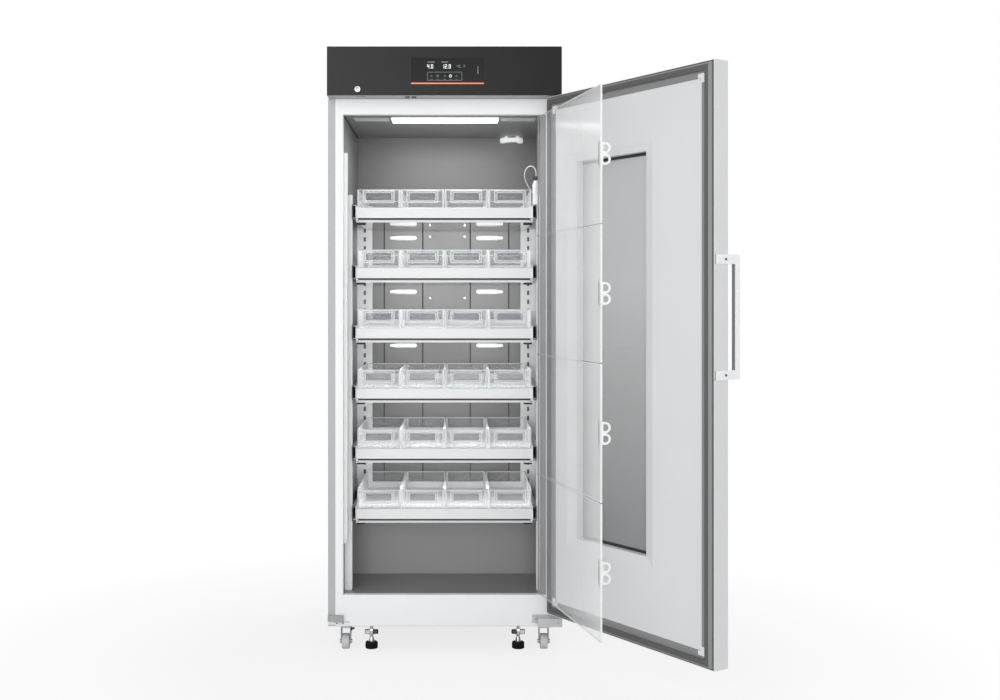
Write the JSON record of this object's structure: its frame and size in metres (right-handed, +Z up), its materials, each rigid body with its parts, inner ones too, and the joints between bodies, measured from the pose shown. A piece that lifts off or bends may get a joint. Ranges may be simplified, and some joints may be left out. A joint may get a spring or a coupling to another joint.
{
  "type": "blood bank refrigerator",
  "caption": "Upright refrigerator with a glazed outer door, clear inner doors, sliding drawers of clear bins, a dark control hood, casters and levelling feet, shown open.",
  "frame": {"origin": "on the floor, in the plane of the cabinet's front opening, below the middle of its width", "axes": "+X to the right seen from the front, +Y from the front to the back, +Z up"},
  "size_m": [1.1963, 1.3697, 1.96],
  "materials": {
    "cabinet_grey": "satin",
    "panel_white": "satin",
    "frame_white": "satin",
    "tub_white": "satin",
    "insulation": "matte",
    "coil_aluminium": "satin",
    "black_plastic": "matte",
    "lamp_case": "satin",
    "lamp_lens": "frosted",
    "hood_charcoal": "satin",
    "display_black": "gloss",
    "board_green": "matte",
    "post_white": "satin",
    "slide_steel": "zinc plated",
    "bracket_grey": "satin",
    "bracket_white": "satin",
    "bottle_clear": "clear",
    "cable_white": "matte",
    "compressor_black": "satin",
    "condenser_black": "satin",
    "caster_zinc": "zinc plated",
    "wheel_grey": "matte",
    "pedal_black": "satin",
    "foot_rubber": "matte",
    "lock_chrome": "polished",
    "door_white": "satin",
    "door_liner_white": "satin",
    "gasket_grey": "matte",
    "window": "clear",
    "handle_white": "satin",
    "clear_pane": "clear",
    "pull_white": "satin",
    "clear_bin": "clear"
  },
  "bodies": {
    "cabinet": {"outer_cabinet": "cabinet_grey", "rear_panel": "cabinet_grey", "front_frame": "frame_white", "foam_insulation": "insulation", "liner": "tub_white", "air_duct_panel": "panel_white", "evaporator": "coil_aluminium", "fan_shroud": "black_plastic", "lamp_housing": "lamp_case", "lamp_diffuser": "lamp_lens", "header_cover": "hood_charcoal", "display_panel": "display_black", "control_board": "board_green", "drawer_posts": "post_white", "slide_rails": "slide_steel", "hinge_brackets": "bracket_grey", "inner_door_stile": "bracket_white", "keeper_strip": "bracket_white", "probe_bottle": "bottle_clear", "probe_cable": "cable_white", "compressor": "compressor_black", "condenser": "condenser_black", "caster_forks_rear": "caster_zinc"},
    "fan": {"fan_blades": "black_plastic"},
    "key_lock": {"key_lock_barrel": "lock_chrome"},
    "front_left_swivel": {"caster_fork_left": "caster_zinc"},
    "front_right_swivel": {"caster_fork_right": "caster_zinc"},
    "front_left_wheel": {"caster_wheel_front_left": "wheel_grey"},
    "front_right_wheel": {"caster_wheel_front_right": "wheel_grey"},
    "rear_left_wheel": {"caster_wheel_rear_left": "wheel_grey"},
    "rear_right_wheel": {"caster_wheel_rear_right": "wheel_grey"},
    "brake_pedal": {"caster_brake": "pedal_black"},
    "left_foot": {"levelling_foot_left": "foot_rubber"},
    "right_foot": {"levelling_foot_right": "foot_rubber"},
    "main_door": {"door_shell": "door_white", "door_foam": "insulation", "door_inner_panel": "door_liner_white", "door_gasket": "gasket_grey", "window_glass": "window", "door_handle": "handle_white"},
    "inner_door_leaf_1": {"inner_door_1": "clear_pane", "inner_pull_1": "pull_white"},
    "inner_door_leaf_2": {"inner_door_2": "clear_pane", "inner_pull_2": "pull_white"},
    "inner_door_leaf_3": {"inner_door_3": "clear_pane", "inner_pull_3": "pull_white"},
    "inner_door_leaf_4": {"inner_door_4": "clear_pane", "inner_pull_4": "pull_white"},
    "drawer_1": {"drawer_tray_1": "panel_white", "drawer_bins_1": "clear_bin"},
    "drawer_2": {"drawer_tray_2": "panel_white", "drawer_bins_2": "clear_bin"},
    "drawer_3": {"drawer_tray_3": "panel_white", "drawer_bins_3": "clear_bin"},
    "drawer_4": {"drawer_tray_4": "panel_white", "drawer_bins_4": "clear_bin"},
    "drawer_5": {"drawer_tray_5": "panel_white", "drawer_bins_5": "clear_bin"},
    "drawer_6": {"drawer_tray_6": "panel_white", "drawer_bins_6": "clear_bin"}
  },
  "joints": [
    {"name": "main_door_hinge", "type": "hinge", "parent": "cabinet", "child": "main_door", "pos_m": [0.365, -0.044, 0.9705], "axis": [0, 0, 1], "range_deg": [-122.4, 0]},
    {"name": "inner_door_hinge_1", "type": "hinge", "parent": "cabinet", "child": "inner_door_leaf_1", "pos_m": [0.306, 0.018, 1.5544], "axis": [0, 0, 1], "range_deg": [-102.52, 0]},
    {"name": "inner_door_hinge_2", "type": "hinge", "parent": "cabinet", "child": "inner_door_leaf_2", "pos_m": [0.306, 0.018, 1.1654], "axis": [0, 0, 1], "range_deg": [-102.52, 0]},
    {"name": "inner_door_hinge_3", "type": "hinge", "parent": "cabinet", "child": "inner_door_leaf_3", "pos_m": [0.306, 0.018, 0.7764], "axis": [0, 0, 1], "range_deg": [-102.52, 0]},
    {"name": "inner_door_hinge_4", "type": "hinge", "parent": "cabinet", "child": "inner_door_leaf_4", "pos_m": [0.306, 0.018, 0.3874], "axis": [0, 0, 1], "range_deg": [-102.52, 0]},
    {"name": "drawer_slide_1", "type": "slide", "parent": "cabinet", "child": "drawer_1", "axis": [0, -1, 0], "range_m": [0, 0.36]},
    {"name": "drawer_slide_2", "type": "slide", "parent": "cabinet", "child": "drawer_2", "axis": [0, -1, 0], "range_m": [0, 0.36]},
    {"name": "drawer_slide_3", "type": "slide", "parent": "cabinet", "child": "drawer_3", "axis": [0, -1, 0], "range_m": [0, 0.36]},
    {"name": "drawer_slide_4", "type": "slide", "parent": "cabinet", "child": "drawer_4", "axis": [0, -1, 0], "range_m": [0, 0.36]},
    {"name": "drawer_slide_5", "type": "slide", "parent": "cabinet", "child": "drawer_5", "axis": [0, -1, 0], "range_m": [0, 0.36]},
    {"name": "drawer_slide_6", "type": "slide", "parent": "cabinet", "child": "drawer_6", "axis": [0, -1, 0], "range_m": [0, 0.36]},
    {"name": "fan_spin", "type": "hinge", "parent": "cabinet", "child": "fan", "pos_m": [0, 0.594, 1.64], "axis": [0, 1, 0], "continuous": true},
    {"name": "key_turn", "type": "hinge", "parent": "cabinet", "child": "key_lock", "pos_m": [-0.278, -0.056, 1.823], "axis": [0, 1, 0], "range_deg": [0, 90]},
    {"name": "front_left_caster_swivel", "type": "hinge", "parent": "cabinet", "child": "front_left_swivel", "pos_m": [-0.326, 0.079, 0.09], "axis": [0, 0, 1], "continuous": true},
    {"name": "front_left_wheel_spin", "type": "hinge", "parent": "front_left_swivel", "child": "front_left_wheel", "pos_m": [-0.326, 0.061, 0.025], "axis": [1, 0, 0], "continuous": true},
    {"name": "rear_left_wheel_spin", "type": "hinge", "parent": "cabinet", "child": "rear_left_wheel", "pos_m": [-0.326, 0.618, 0.025], "axis": [1, 0, 0], "continuous": true},
    {"name": "front_right_caster_swivel", "type": "hinge", "parent": "cabinet", "child": "front_right_swivel", "pos_m": [0.326, 0.079, 0.09], "axis": [0, 0, 1], "continuous": true},
    {"name": "front_right_wheel_spin", "type": "hinge", "parent": "front_right_swivel", "child": "front_right_wheel", "pos_m": [0.326, 0.061, 0.025], "axis": [1, 0, 0], "continuous": true},
    {"name": "rear_right_wheel_spin", "type": "hinge", "parent": "cabinet", "child": "rear_right_wheel", "pos_m": [0.326, 0.618, 0.025], "axis": [1, 0, 0], "continuous": true},
    {"name": "brake_press", "type": "hinge", "parent": "front_left_swivel", "child": "brake_pedal", "pos_m": [-0.3077, 0.071, 0.062], "axis": [1, 0, 0], "range_deg": [0, 18]},
    {"name": "left_foot_screw", "type": "slide", "parent": "cabinet", "child": "left_foot", "axis": [0, 0, 1], "range_m": [0, 0.015]},
    {"name": "right_foot_screw", "type": "slide", "parent": "cabinet", "child": "right_foot", "axis": [0, 0, 1], "range_m": [0, 0.015]}
  ],
  "couplings": [
    {"joint": "inner_door_hinge_1", "follows": "main_door_hinge", "ratio": 0.8375},
    {"joint": "inner_door_hinge_2", "follows": "main_door_hinge", "ratio": 0.8375},
    {"joint": "inner_door_hinge_3", "follows": "main_door_hinge", "ratio": 0.8375},
    {"joint": "inner_door_hinge_4", "follows": "main_door_hinge", "ratio": 0.8375}
  ]
}
